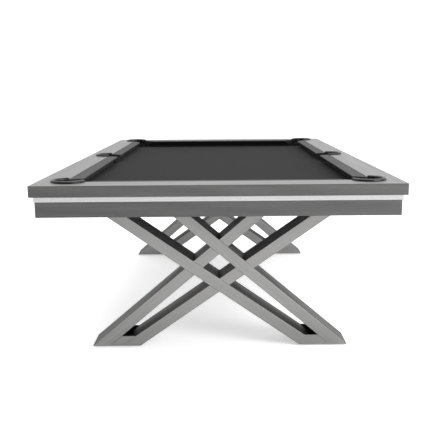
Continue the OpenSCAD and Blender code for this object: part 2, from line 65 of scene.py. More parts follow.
# each pocket: its centre, the direction that points away from the bed, and half of its collar's arc
pockets = {}
for endName, ySign in (("front", -1), ("rear", 1)):
    for sideName, xSign in (("left", -1), ("right", 1)):
        pockets[f"{endName}_{sideName}"] = {
            "centre": (xSign*(halfWidth + table["cornerSet"]), ySign*(halfLength + table["cornerSet"])),
            "outward": math.atan2(ySign, xSign), "halfArc": math.radians(cornerArc), "corner": True}
for sideName, xSign in (("left", -1), ("right", 1)):
    pockets[f"side_{sideName}"] = {
        "centre": (xSign*(halfWidth + table["sideSet"]), 0),
        "outward": math.pi if xSign < 0 else 0, "halfArc": math.radians(sideArc), "corner": False}

# each cushion: the turn that lays its run along +Y with the nose towards -X, its nose line and its two ends
cushionRuns = {}
sideTip = table["sideMouth"]/2
cornerTip = table["cornerMouth"]/math.sqrt(2)
for endName, turn in (("front", -90), ("rear", 90)):
    cushionRuns[endName] = {"turn": turn, "nose": halfLength, "low": -halfWidth + cornerTip,
                            "high": halfWidth - cornerTip, "lowIsSide": False, "highIsSide": False}
for name, turn, lowIsSide in (("left_front", 180, True), ("left_rear", 180, False),
                              ("right_front", 0, False), ("right_rear", 0, True)):
    low, high = (sideTip, halfLength - cornerTip) if lowIsSide else (-halfLength + cornerTip, -sideTip)
    cushionRuns[name] = {"turn": turn, "nose": halfWidth, "low": low, "high": high,
                         "lowIsSide": lowIsSide, "highIsSide": not lowIsSide}


# camera and studio
camera = {"place": (0.0059, -3.9006, 1.1182), "pitch": 0.18672, "turn": -0.00325, "roll": 0.00731,
          "lens": 56.115, "sensor": 36}
studio = {"floor": 14, "floorTone": 0.90, "floorGlow": 0.44, "backdrop": 1.05, "front": 0.14, "rear": 1.05,
          "sides": 0.12, "zenith": 0.7,
          "keyPower": 120, "keySize": 2.2, "topPower": 70, "topSize": 3.5}


def makeCamera():
    data = bpy.data.cameras.new("photoCamera")
    data.lens = camera["lens"]
    data.sensor_width = camera["sensor"]
    data.clip_end = 60
    rig = bpy.data.objects.new("photoCamera", data)
    scene.collection.objects.link(rig)
    rig.matrix_world = (Matrix.Translation(camera["place"]) @ Matrix.Rotation(camera["turn"], 4, "Z")
                        @ Matrix.Rotation(math.pi/2 - camera["pitch"], 4, "X")
                        @ Matrix.Rotation(-camera["roll"], 4, "Z"))
    scene.camera = rig


def softLight(name, place, target, size, power):
    data = bpy.data.lights.new(name, "AREA")
    data.shape = "RECTANGLE"
    data.size = size[0]
    data.size_y = size[1]
    data.energy = power
    lamp = bpy.data.objects.new(name, data)
    scene.collection.objects.link(lamp)
    lamp.location = place
    lamp.rotation_euler = (Vector(target) - Vector(place)).to_track_quat("-Z", "Y").to_euler()


def makeStudio():
    scene.view_settings.view_transform = "Standard"
    world = bpy.data.worlds.new("studio")
    scene.world = world
    world.use_nodes = True
    tree = world.node_tree
    background = tree.nodes["Background"]
    background.inputs["Color"].default_value = (1, 1, 1, 1)
    toward = tree.nodes.new("ShaderNodeSeparateXYZ")
    tree.links.new(tree.nodes.new("ShaderNodeTexCoord").outputs["Generated"], toward.inputs[0])
    total = None
    for axis, span, values in (("Y", (-0.7, 0.7), (studio["front"], studio["rear"])),
                               ("X", (-1, 1), (-studio["sides"], studio["sides"])), ("Z", (0.1, 0.9),
                                       (0, studio["zenith"]))):
        ramp = tree.nodes.new("ShaderNodeMapRange")
        ramp.interpolation_type = "SMOOTHSTEP"
        for slot, value in zip(("From Min", "From Max", "To Min", "To Max"), span + values):
            ramp.inputs[slot].default_value = value
        tree.links.new(toward.outputs[axis], ramp.inputs["Value"])
        if total is None:
            total = ramp.outputs["Result"]
        else:
            adding = tree.nodes.new("ShaderNodeMath")
            tree.links.new(total, adding.inputs[0])
            tree.links.new(ramp.outputs["Result"], adding.inputs[1])
            total = adding.outputs[0]
    seen = tree.nodes.new("ShaderNodeMix")
    seen.inputs["B"].default_value = studio["backdrop"]
    tree.links.new(tree.nodes.new("ShaderNodeLightPath").outputs["Is Camera Ray"], seen.inputs["Factor"])
    tree.links.new(total, seen.inputs["A"])
    tree.links.new(seen.outputs["Result"], background.inputs["Strength"])
    bm = bmesh.new()
    bmesh.ops.create_grid(bm, x_segments=1, y_segments=1, size=studio["floor"])
    mesh = bpy.data.meshes.new("floor")
    bm.to_mesh(mesh)
    bm.free()
    floor = bpy.data.objects.new("floor", mesh)
    scene.collection.objects.link(floor)
    paper = bpy.data.materials.new("palePaper")
    paper.use_nodes = True
    shader = paper.node_tree.nodes["Principled BSDF"]
    shader.inputs["Base Color"].default_value = (studio["floorTone"],)*3 + (1,)
    shader.inputs["Roughness"].default_value = 0.9
    shader.inputs["Emission Color"].default_value = (1, 1, 1, 1)
    shader.inputs["Emission Strength"].default_value = studio["floorGlow"]
    mesh.materials.append(paper)
    softLight("keyRight", (2.9, -2.9, 1.9), (0.5, -0.9, 0.5), (studio["keySize"], studio["keySize"]),
              studio["keyPower"])
    softLight("topSoft", (0, 0.4, 3.6), (0, 0, 0.7), (studio["topSize"], studio["topSize"]),
              studio["topPower"])


makeCamera()
makeStudio()
print("camera and studio made")


# shader node groups
def addNode(tree, kind, values=None, **settings):
    node = tree.nodes.new(kind)
    for key, value in settings.items():
        setattr(node, key, value)
    for key, value in (values or {}).items():
        node.inputs[key].default_value = value
    return node


def newGroup(name, inputs, outputs):
    group = bpy.data.node_groups.new(name, "ShaderNodeTree")
    for label, kind, value in inputs:
        socket = group.interface.new_socket(label, in_out="INPUT", socket_type=kind)
        if value is not None:
            socket.default_value = value
    for label in outputs:
        group.interface.new_socket(label, in_out="OUTPUT", socket_type="NodeSocketFloat")
    return group, addNode(group, "NodeGroupInput"), addNode(group, "NodeGroupOutput")


def stretchedNoise(group, source, stretch, scale, detail, distortion=0.0):
    pull = addNode(group, "ShaderNodeVectorMath", {1: stretch}, operation="MULTIPLY")
    noise = addNode(group, "ShaderNodeTexNoise", {"Detail": detail, "Roughness": 0.6,
            "Distortion": distortion})
    group.links.new(source, pull.inputs[0])
    group.links.new(pull.outputs[0], noise.inputs["Vector"])
    if hasattr(scale, "type"):
        group.links.new(scale, noise.inputs["Scale"])
    else:
        noise.inputs["Scale"].default_value = scale
    return noise.outputs["Fac"]


def spreadOut(group, value, low, high, outLow=0.0, outHigh=1.0):
    ranged = addNode(group, "ShaderNodeMapRange",
                     {"From Min": low, "From Max": high, "To Min": outLow, "To Max": outHigh})
    group.links.new(value, ranged.inputs["Value"])
    return ranged.outputs["Result"]


def mathOf(group, operation, a, b):
    node = addNode(group, "ShaderNodeMath", operation=operation)
    for index, value in enumerate((a, b)):
        if hasattr(value, "type"):
            group.links.new(value, node.inputs[index])
        else:
            node.inputs[index].default_value = value
    return node.outputs[0]


def giveOut(group, out, label, value, low, high):
    group.links.new(spreadOut(group, value, low, high), out.inputs[label])


def makeGrainGroup():
    group, given, out = newGroup("woodGrain", [("Vector", "NodeSocketVector", None),
                                               ("Figure Scale", "NodeSocketFloat", 1.0)],
                                 ["Figure", "Streaks", "Pores"])
    vector, scale = given.outputs["Vector"], given.outputs["Figure Scale"]
    broad = stretchedNoise(group, vector, (0.5, 7.0, 7.0), scale, 4.0, 0.6)
    streaks = stretchedNoise(group, vector, (1.4, 95.0, 95.0), scale, 5.0, 0.25)
    pores = stretchedNoise(group, vector, (28.0, 900.0, 900.0), scale, 2.0)
    rings = addNode(group, "ShaderNodeTexWave", {"Scale": 9.0, "Distortion": 7.0, "Detail": 2.0,
            "Detail Scale": 0.8},
                    wave_type="BANDS", bands_direction="DIAGONAL")
    pull = addNode(group, "ShaderNodeVectorMath", {1: (0.10, 1.3, 1.3)}, operation="MULTIPLY")
    group.links.new(vector, pull.inputs[0])
    group.links.new(pull.outputs[0], rings.inputs["Vector"])
    ringPart = mathOf(group, "MULTIPLY", rings.outputs["Fac"], 0.35)
    figure = mathOf(group, "ADD", mathOf(group, "MULTIPLY", spreadOut(group, broad, 0.3, 0.7), 0.65),
                    ringPart)
    group.links.new(figure, out.inputs["Figure"])
    giveOut(group, out, "Streaks", streaks, 0.32, 0.68)
    giveOut(group, out, "Pores", pores, 0.56, 0.72)
    return group


def makeBrushedGroup():
    group, given, out = newGroup("brushedMetal", [("Vector", "NodeSocketVector", None)], ["Lines", "Cloud"])
    vector = given.outputs["Vector"]
    lines = stretchedNoise(group, vector, (6.0, 620.0, 620.0), 1.0, 4.0)
    cloud = stretchedNoise(group, vector, (3.0, 5.0, 5.0), 1.0, 4.0, 0.3)
    giveOut(group, out, "Lines", lines, 0.3, 0.7)
    giveOut(group, out, "Cloud", cloud, 0.3, 0.7)
    return group


def makeClothGroup():
    group, given, out = newGroup("worstedWeave", [("Vector", "NodeSocketVector", None),
                                                  ("Thread Scale", "NodeSocketFloat", 1.0)],
                                 ["Weave", "Nap", "Cloud"])
    vector, scale = given.outputs["Vector"], given.outputs["Thread Scale"]
    waves = []
    for direction in ("X", "Y"):
        wave = addNode(group, "ShaderNodeTexWave", {"Distortion": 0.6, "Detail": 1.0},
                       wave_type="BANDS", bands_direction=direction)
        group.links.new(vector, wave.inputs["Vector"])
        group.links.new(mathOf(group, "MULTIPLY", scale, 360.0), wave.inputs["Scale"])
        waves.append(wave.outputs["Fac"])
    group.links.new(mathOf(group, "MULTIPLY", waves[0], waves[1]), out.inputs["Weave"])
    nap = stretchedNoise(group, vector, (160.0, 90.0, 160.0), scale, 5.0, 0.4)
    cloud = stretchedNoise(group, vector, (3.0, 2.0, 3.0), 1.0, 3.0)
    giveOut(group, out, "Nap", nap, 0.3, 0.7)
    giveOut(group, out, "Cloud", cloud, 0.3, 0.7)
    return group


def makeLeatherGroup():
    group, given, out = newGroup("leatherGrain", [("Vector", "NodeSocketVector", None),
                                                  ("Grain Scale", "NodeSocketFloat", 1.0)],
                                 ["Pebble", "Crease"])
    vector, scale = given.outputs["Vector"], given.outputs["Grain Scale"]
    cells = addNode(group, "ShaderNodeTexVoronoi", feature="DISTANCE_TO_EDGE")
    group.links.new(vector, cells.inputs["Vector"])
    group.links.new(mathOf(group, "MULTIPLY", scale, 640.0), cells.inputs["Scale"])
    giveOut(group, out, "Pebble", cells.outputs["Distance"], 0.0, 0.28)
    crease = stretchedNoise(group, vector, (60.0, 60.0, 60.0), scale, 6.0, 1.2)
    giveOut(group, out, "Crease", crease, 0.35, 0.65)
    return group


def makeMouldGroup():
    group, given, out = newGroup("mouldedSkin", [("Vector", "NodeSocketVector", None),
                                                 ("Speck Scale", "NodeSocketFloat", 1.0)],
                                 ["Specks", "Cloud"])
    vector, scale = given.outputs["Vector"], given.outputs["Speck Scale"]
    specks = stretchedNoise(group, vector, (900.0, 900.0, 900.0), scale, 2.0)
    cloud = stretchedNoise(group, vector, (9.0, 9.0, 9.0), scale, 4.0)
    giveOut(group, out, "Specks", specks, 0.35, 0.65)
    giveOut(group, out, "Cloud", cloud, 0.3, 0.7)
    return group


grainGroup = makeGrainGroup()
brushedGroup = makeBrushedGroup()
clothGroup = makeClothGroup()
leatherGroup = makeLeatherGroup()
mouldGroup = makeMouldGroup()


# materials
def startMaterial(name, group, spec, turn=(0, 0, 0), shift=(0, 0, 0), groupValues=None):
    material = bpy.data.materials.new(name)
    material.use_nodes = True
    tree = material.node_tree
    shader = tree.nodes["Principled BSDF"]
    for key, value in spec.get("shader", {}).items():
        shader.inputs[key].default_value = value
    coords = addNode(tree, "ShaderNodeTexCoord")
    mapping = addNode(tree, "ShaderNodeMapping", {"Rotation": [math.radians(a) for a in turn],
            "Location": shift})
    effect = addNode(tree, "ShaderNodeGroup", node_tree=group)
    for key, value in (groupValues or {}).items():
        effect.inputs[key].default_value = value
    tree.links.new(coords.outputs["Object"], mapping.inputs["Vector"])
    tree.links.new(mapping.outputs["Vector"], effect.inputs["Vector"])
    return material, tree, shader, effect


def blendColours(tree, factor, colourA, colourB, mode="MIX"):
    mix = addNode(tree, "ShaderNodeMix", data_type="RGBA", blend_type=mode)
    if hasattr(factor, "type"):
        tree.links.new(factor, mix.inputs["Factor"])
    else:
        mix.inputs["Factor"].default_value = factor
    for index, colour in ((6, colourA), (7, colourB)):
        if hasattr(colour, "type"):
            tree.links.new(colour, mix.inputs[index])
        else:
            mix.inputs[index].default_value = (*colour, 1)
    return mix.outputs[2]


def grey(tone, warm=0.0):
    return (tone*(1 + warm), tone, tone*(1 - warm))


def bumpTo(tree, shader, height, strength, distance):
    bump = addNode(tree, "ShaderNodeBump", {"Strength": strength, "Distance": distance})
    tree.links.new(height, bump.inputs["Height"])
    tree.links.new(bump.outputs["Normal"], shader.inputs["Normal"])


def roughen(tree, shader, value, spec):
    tree.links.new(spreadOut(tree, value, 0, 1, *spec["roughness"]), shader.inputs["Roughness"])


def woodMaterial(name, spec, turn, shift):
    material, tree, shader, grain = startMaterial(name, grainGroup, spec, turn, shift,
                                                  {"Figure Scale": spec["figure"]})
    body = blendColours(tree, grain.outputs["Figure"], spec["dark"], spec["light"])
    streaky = blendColours(tree, spreadOut(tree, grain.outputs["Streaks"], 0, 1, 0, spec["streak"]), body,
                           spec["streakTone"])
    poreTone = blendColours(tree, spreadOut(tree, grain.outputs["Pores"], 0, 1, 0, spec["pore"]), streaky,
                            spec["poreTone"])
    tree.links.new(poreTone, shader.inputs["Base Color"])
    roughen(tree, shader, grain.outputs["Streaks"], spec)
    height = mathOf(tree, "SUBTRACT", mathOf(tree, "MULTIPLY", grain.outputs["Streaks"], 0.4),
                    grain.outputs["Pores"])
    bumpTo(tree, shader, height, spec["bump"], 0.0004)
    return material


def metalMaterial(name, spec, turn=(0, 0, 0), shift=(0, 0, 0)):
    material, tree, shader, brushed = startMaterial(name, brushedGroup, spec, turn, shift)
    tone = blendColours(tree, brushed.outputs["Lines"], spec["dark"], spec["light"])
    cloudy = blendColours(tree, spreadOut(tree, brushed.outputs["Cloud"], 0, 1, 0, 0.35), tone, spec["cloud"])
    tree.links.new(cloudy, shader.inputs["Base Color"])
    roughen(tree, shader, brushed.outputs["Lines"], spec)
    bumpTo(tree, shader, brushed.outputs["Lines"], spec["bump"], 0.0002)
    return material


def clothMaterial(name, spec):
    material, tree, shader, weave = startMaterial(name, clothGroup, spec,
            groupValues={"Thread Scale": spec["threads"]})
    napped = blendColours(tree, weave.outputs["Nap"], spec["dark"], spec["light"])
    faded = blendColours(tree, spreadOut(tree, weave.outputs["Cloud"], 0, 1, 0, 0.5), napped, spec["fade"])
    woven = blendColours(tree, spreadOut(tree, weave.outputs["Weave"], 0, 1, 0.25, 0), faded, spec["dark"])
    tree.links.new(woven, shader.inputs["Base Color"])
    height = mathOf(tree, "ADD", mathOf(tree, "MULTIPLY", weave.outputs["Nap"], 0.6), weave.outputs["Weave"])
    bumpTo(tree, shader, height, spec["bump"], 0.0003)
    return material


def leatherMaterial(name, spec):
    material, tree, shader, hide = startMaterial(name, leatherGroup, spec,
            groupValues={"Grain Scale": spec["grain"]})
    tone = blendColours(tree, hide.outputs["Crease"], spec["dark"], spec["light"])
    creviced = blendColours(tree, spreadOut(tree, hide.outputs["Pebble"], 0, 1, 0.5, 0), tone,
                            spec["crevice"])
    tree.links.new(creviced, shader.inputs["Base Color"])
    roughen(tree, shader, hide.outputs["Crease"], spec)
    height = mathOf(tree, "ADD", hide.outputs["Pebble"], mathOf(tree, "MULTIPLY", hide.outputs["Crease"],
            0.5))
    bumpTo(tree, shader, height, spec["bump"], 0.0002)
    return material


def mouldedMaterial(name, spec):
    material, tree, shader, skin = startMaterial(name, mouldGroup, spec,
            groupValues={"Speck Scale": spec["specks"]})
    tone = blendColours(tree, skin.outputs["Cloud"], spec["dark"], spec["light"])
    tree.links.new(tone, shader.inputs["Base Color"])
    roughen(tree, shader, skin.outputs["Cloud"], spec)
    bumpTo(tree, shader, skin.outputs["Specks"], spec["bump"], 0.0002)
    return material


railWood = {"figure": 1.0, "dark": grey(0.044, 0.01), "light": grey(0.092, 0.01), "streak": 0.55,
            "streakTone": grey(0.04),
            "pore": 0.6, "poreTone": grey(0.02), "roughness": (0.36, 0.50), "bump": 0.35,
            "shader": {"Coat Weight": 0.35, "Coat Roughness": 0.32}}
# apron wood: the rail oak darkened, a painted shade for the upright apron faces that the light from above
# misses
shadeDarkApronWood = railWood | {"dark": grey(0.036, 0.01), "light": grey(0.076, 0.01)}
hiddenWood = {"figure": 1.3, "dark": (0.075, 0.060, 0.045), "light": (0.125, 0.10, 0.075), "streak": 0.4,
              "streakTone": (0.06, 0.048, 0.036), "pore": 0.3, "poreTone": (0.03, 0.024,
                      0.018), "roughness": (0.6, 0.78),
              "bump": 0.3}
legSteel = {"dark": grey(0.18, 0.01), "light": grey(0.28, 0.01), "cloud": grey(0.225),
            "roughness": (0.34, 0.46),
            "bump": 0.12, "shader": {"Metallic": 1.0, "Specular Tint": (*grey(0.34), 1), "Anisotropic": 0.6}}
brightStrip = {"dark": grey(0.44), "light": grey(0.60), "cloud": grey(0.52), "roughness": (0.22, 0.34),
               "bump": 0.08, "shader": {"Metallic": 1.0}}
studZinc = {"dark": grey(0.50), "light": grey(0.66), "cloud": (0.60, 0.60, 0.64), "roughness": (0.26, 0.42),
            "bump": 0.05, "shader": {"Metallic": 1.0}}
bedWool = {"threads": 1.0, "dark": grey(0.008), "light": grey(0.020), "fade": grey(0.016), "bump": 0.25,
           "shader": {"Roughness": 0.95, "Specular IOR Level": 0.08, "Sheen Weight": 0.015,
                      "Sheen Roughness": 0.5}}
# cushion cloth: a darker copy of the bed cloth; its lower base colour is painted shade that keeps the
# cushions' nose faces and undersides black
shadeDarkCushionWool = {"threads": 1.0, "dark": grey(0.004), "light": grey(0.011), "fade": grey(0.008), "bump": 0.25,
               "shader": {"Roughness": 0.66, "Specular IOR Level": 0.3, "Sheen Weight": 0.04,
                          "Sheen Roughness": 0.45}}
pocketLeather = {"grain": 1.0, "dark": grey(0.006), "light": grey(0.013), "crevice": grey(0.003),
                 "roughness": (0.32, 0.46), "bump": 0.25, "shader": {"Specular IOR Level": 0.35,
                         "Coat Weight": 0.05, "Coat Roughness": 0.2}}
basketLeather = {"grain": 0.8, "dark": grey(0.010), "light": grey(0.022), "crevice": grey(0.004),
                 "roughness": (0.45, 0.6), "bump": 0.35}
stitchThread = {"threads": 4.0, "dark": grey(0.04), "light": grey(0.09), "fade": grey(0.06), "bump": 0.3,
                "shader": {"Roughness": 0.7}}
powderCoat = {"specks": 0.7, "dark": grey(0.030), "light": grey(0.045), "roughness": (0.5, 0.62), "bump": 0.3}
footNylon = {"specks": 0.8, "dark": grey(0.018), "light": grey(0.032), "roughness": (0.42, 0.55), "bump": 0.2}
honedSlate = {"specks": 0.4, "dark": (0.085, 0.092, 0.10), "light": (0.14, 0.148, 0.155),
              "roughness": (0.55, 0.7),
              "bump": 0.2}

across = (0, 0, 90)
woods = {
    "endRail": woodMaterial("greyStainedOakEnd", railWood, (0, 0, 0), (0.3, 0.1, 0.7)),
    "sideRail": woodMaterial("greyStainedOakSide", railWood, across, (1.9, 0.6, 0.2)),
    "endApron": woodMaterial("greyStainedOakEndApronShadeDark", shadeDarkApronWood, (0, 0, 0), (4.2, 0.9, 1.3)),
    "sideApron": woodMaterial("greyStainedOakSideApronShadeDark", shadeDarkApronWood, across, (2.5, 1.6, 0.4)),
    "hiddenLong": woodMaterial("sawnPoplarLong", hiddenWood, across, (0.4, 0.3, 0.6)),
}
slateStone = mouldedMaterial("honedSlate", honedSlate)
frameCoat = mouldedMaterial("blackPowderCoat", powderCoat)
padNylon = mouldedMaterial("footNylon", footNylon)
stripMetal = metalMaterial("brightStripMetal", brightStrip)
zincPlate = metalMaterial("zincPlate", studZinc)
plateSteel = metalMaterial("plateSteel", legSteel)
bedCloth = clothMaterial("bedWool", bedWool)
# the cushions and feather strips take the darker cloth copy, painted shade on their nose faces
shadeDarkCushionCloth = clothMaterial("shadeDarkCushionWool", shadeDarkCushionWool)
collarHide = leatherMaterial("collarLeather", pocketLeather)
basketHide = leatherMaterial("basketLeather", basketLeather)
threadWax = clothMaterial("waxedThread", stitchThread)
print("materials made")


# making pieces
def shadeByAngle(bm, angle=32):
    for face in bm.faces:
        face.smooth = True
    for edge in bm.edges:
        if len(edge.link_faces) == 2 and edge.calc_face_angle(0) > math.radians(angle):
            edge.smooth = False


def finishPiece(bm, name, body, material, replaced=(), angle=32):
    shadeByAngle(bm, angle)
    mesh = bpy.data.meshes.new(name)
    bm.to_mesh(mesh)
    bm.free()
    mesh.materials.append(material)
    piece = bpy.data.objects.new(name, mesh)
    scene.collection.objects.link(piece)
    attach(piece, body)
    if replaced:
        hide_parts(*replaced)
    return piece


def ofKind(parts, kind):
    return [part for part in parts if isinstance(part, getattr(bmesh.types, kind))]


def profileLoop(bm, points, closed=True):
    verts = [bm.verts.new((r, 0, z)) for r, z in points]
    pairs = list(zip(verts, verts[1:] + verts[:1])) if closed else list(zip(verts, verts[1:]))
    return verts, [bm.edges.new(pair) for pair in pairs]


def spinProfile(bm, points, angle, steps, closed=True, start=0.0):
    verts, edges = profileLoop(bm, points, closed)
    bmesh.ops.rotate(bm, verts=verts, cent=(0, 0, 0), matrix=Matrix.Rotation(start, 3, "Z"))
    whole = abs(angle - 2*math.pi) < 1e-6
    made = bmesh.ops.spin(bm, geom=verts + edges, cent=(0, 0, 0), axis=(0, 0, 1), angle=angle, steps=steps,
                          use_merge=whole, use_duplicate=False)
    return verts, ofKind(made["geom_last"], "BMVert")


def closeAndOrient(bm):
    bmesh.ops.remove_doubles(bm, verts=bm.verts, dist=1e-6)
    bmesh.ops.holes_fill(bm, edges=[e for e in bm.edges if e.is_boundary], sides=0)
    bmesh.ops.recalc_face_normals(bm, faces=bm.faces)


def placeAll(bm, matrix):
    bmesh.ops.transform(bm, matrix=matrix, verts=bm.verts)


def easeEdges(bm, edges, width, segments, clamp=False):
    bmesh.ops.bevel(bm, geom=edges, offset=width, segments=segments, profile=0.5, affect="EDGES", material=-1,
                    clamp_overlap=clamp)


def pocketPlace(pocket):
    return Matrix.Translation((*pocket["centre"], 0)) @ Matrix.Rotation(pocket["outward"], 4, "Z")


def runPlace(run):
    return Matrix.Rotation(math.radians(run["turn"]), 4, "Z") @ Matrix.Translation((run["nose"], 0, 0))


def addSubdivision(piece, levels):
    smooth = piece.modifiers.new("softened", "SUBSURF")
    smooth.levels = smooth.render_levels = levels


# leather collars: a rolled rim over the wood and a wall down to the cloth, sewn near the outer edge
collar = {"steps": 40, "tipLength": 0.0030, "tipShrink": (0.86, 0.5), "stitchPitch": 0.0042,
          "stitchLong": 0.0029,
          "stitchThick": 0.0009, "seamIn": 0.0040}


def collarProfile():
    inner, outer = table["pocketRadius"], collarOut
    lap = outer + table["collarLap"]
    low, top = table["bedTop"] + table["gap"], table["railTop"] + table["gap"]
    crown = table["railTop"] + table["collarRise"]
    seam = lap - collar["seamIn"]
    return [(inner + 0.0008, low), (inner + 0.0008, top - 0.006), (inner, top + 0.001),
            (inner + 0.0006, top + 0.0045),
            (inner + 0.0024, crown - 0.0022), (inner + 0.0052, crown - 0.0004), (inner + 0.0085,
                    crown - 0.0001),
            (seam - 0.0012, crown - 0.0012), (seam, crown - 0.0023), (seam + 0.0012, crown - 0.0022),
            (lap - 0.0012, crown - 0.0050), (lap - 0.0002, top + 0.0022), (lap - 0.0002, top + 0.0002),
            (outer - 0.0006, top), (outer - 0.0006, low + 0.002), (outer - 0.002, low)]


def growTip(bm, ring, direction):
    rim = [e for e in bm.edges if e.verts[0] in ring and e.verts[1] in ring]
    face = bmesh.ops.contextual_create(bm, geom=ring + rim)
    faces = face["faces"]
    for share in collar["tipShrink"]:
        made = bmesh.ops.extrude_discrete_faces(bm, faces=faces)
        faces = made["faces"]
        corners = list(dict.fromkeys(v for f in faces for v in f.verts))
        middle = sum((v.co for v in corners), Vector())/len(corners)
        bmesh.ops.translate(bm, verts=corners, vec=direction*collar["tipLength"])
        bmesh.ops.scale(bm, verts=corners, vec=(share, share, 0.5 + share/2),
                        space=Matrix.Translation(-middle - direction*collar["tipLength"]))


def makeCollar(name, pocket):
    bm = bmesh.new()
    half = pocket["halfArc"]
    first, last = spinProfile(bm, collarProfile(), 2*half, collar["steps"], start=-half)
    bmesh.ops.remove_doubles(bm, verts=bm.verts, dist=1e-6)
    growTip(bm, first, Vector((-math.sin(half), -math.cos(half), 0)))
    growTip(bm, last, Vector((-math.sin(half), math.cos(half), 0)))
    bmesh.ops.recalc_face_normals(bm, faces=bm.faces)
    place = pocketPlace(pocket)
    placeAll(bm, place)
    piece = finishPiece(bm, f"collar_leather_{name}", tableBody, collarHide,
                        [f"collar_{name}"], 60)
    addSubdivision(piece, 1)

    bm = bmesh.new()
    radius = collarOut + table["collarLap"] - collar["seamIn"]
    count = int(2*half*radius/collar["stitchPitch"])
    for index in range(count):
        turn = -half + 2*half*(index + 0.5)/count
        shape = (Matrix.Rotation(turn, 4, "Z") @ Matrix.Translation((radius, 0,
                table["railTop"] + table["collarRise"] - 0.0022))
                 @ Matrix.Rotation(math.radians(12), 4, "Z")
                 @ Matrix.Diagonal((collar["stitchThick"], collar["stitchLong"], collar["stitchThick"], 1)))
        bmesh.ops.create_uvsphere(bm, u_segments=8, v_segments=5, radius=0.5, matrix=place @ shape)
    finishPiece(bm, f"collar_stitches_{name}", tableBody, threadWax)


for name, pocket in pockets.items():
    makeCollar(name, pocket)
print("collars made")


# leather baskets: a sewn cup with a band at its brim and straps down its sides
basket = {"depth": 0.094, "waist": 0.044, "toeShare": 0.7, "brimRise": 1/3, "steps": 48, "straps": 8,
          "strapWide": 0.015,
          "strapThick": 0.0014, "bandHigh": 0.009, "bandThick": 0.0012, "stitchPitch": 0.0055}


def basketOutline(grow):
    base = table["bedTop"] - basket["depth"]
    waist = table["bedTop"] - basket["waist"]
    toe = basket["toeShare"]*basketRadius
    return [(0, base - grow), (toe - 0.010, base - grow), (toe - 0.003 + grow/2, base + 0.0015 - grow/2),
            (toe + 0.002 + grow, base + 0.007), ((toe + basketRadius)/2 + 0.001 + grow,
                    (base + waist)/2 - 0.002),
            (basketRadius - 0.0022 + grow, waist - 0.008), (basketRadius - 0.0004 + grow, waist)]


def makeBasket(name, pocket):
    wall = table["basketWall"]
    base = table["bedTop"] - basket["depth"]
    mouth = table["bedTop"] - table["clothThick"] - 0.001
    brim = table["bedTop"] + basketRadius*basket["brimRise"]
    half = pocket["halfArc"] - math.radians(0.5)
    outer = basketOutline(0) + [(basketRadius, mouth)]
    inner = [(r - wall, z) for r, z in reversed(outer[2:])] + [(0, base + wall)]
    inner[-2] = (inner[-2][0], base + wall)
    bm = bmesh.new()
    spinProfile(bm, outer + inner, 2*math.pi, basket["steps"], closed=False)
    spinProfile(bm, [(basketRadius, mouth), (basketRadius, brim - 0.001), (basketRadius - 0.0008, brim),
                     (basketRadius - wall + 0.0008, brim), (basketRadius - wall, brim - 0.001),
                     (basketRadius - wall, mouth)], 2*half, 40, start=-half)
    closeAndOrient(bm)
    place = pocketPlace(pocket)
    placeAll(bm, place)
    finishPiece(bm, f"basket_leather_{name}", tableBody, basketHide, [f"basket_{name}"])

    bm = bmesh.new()
    strapTurn = basket["strapWide"]/basketRadius
    skin = basketOutline(0.0002)[1:] + [(basketRadius + 0.0002, mouth - 0.010)]
    cover = [(r + basket["strapThick"], z - (basket["strapThick"] if i < 2 else 0)) for i,
             (r, z) in enumerate(skin)]
    for index in range(basket["straps"]):
        start = 2*math.pi*index/basket["straps"] - strapTurn/2
        spinProfile(bm, skin + list(reversed(cover)), strapTurn, 4, start=start)
    bandOut = basketRadius + basket["bandThick"]
    spinProfile(bm, [(basketRadius + 0.0001, mouth - basket["bandHigh"]),
                     (bandOut, mouth - basket["bandHigh"]),
                     (bandOut, mouth - 0.001), (basketRadius + 0.0001,
                             mouth - 0.001)], 2*math.pi, basket["steps"])
    closeAndOrient(bm)
    placeAll(bm, place)
    finishPiece(bm, f"basket_straps_{name}", tableBody, collarHide)

    bm = bmesh.new()
    for height, radius in ((mouth - basket["bandHigh"] + 0.0018, bandOut),
                           (base + 0.010, basketOutline(0)[3][0] + 0.0012)):
        count = int(2*math.pi*radius/basket["stitchPitch"])
        for index in range(count):
            shape = (Matrix.Rotation(2*math.pi*index/count, 4, "Z") @ Matrix.Translation((radius, 0, height))
                     @ Matrix.Diagonal((0.0008, 0.0034, 0.0009, 1)))
            bmesh.ops.create_uvsphere(bm, u_segments=6, v_segments=4, radius=0.5, matrix=place @ shape)
    finishPiece(bm, f"basket_stitches_{name}", tableBody, threadWax)


for name, pocket in pockets.items():
    makeBasket(name, pocket)
print("baskets made")


# cushions: cloth drawn over the rubber and the sub-rail, clamped in its groove by the feather strip
cushion = {"noseSteps": 8, "crown": 0.0006, "endRound": 0.0022, "length": 0.06,
           "bedGap": 0.0001,
           "noseFrom": 87, "reach": 0.065}


def noseEnd(offset):
    angle = math.radians(270 - table["undercut"])
    nose = (table["noseRadius"], table["bedTop"] + table["noseHeight"])
    return (nose[0] + (table["noseRadius"] - offset)*math.cos(angle),
            nose[1] + (table["noseRadius"] - offset)*math.sin(angle))


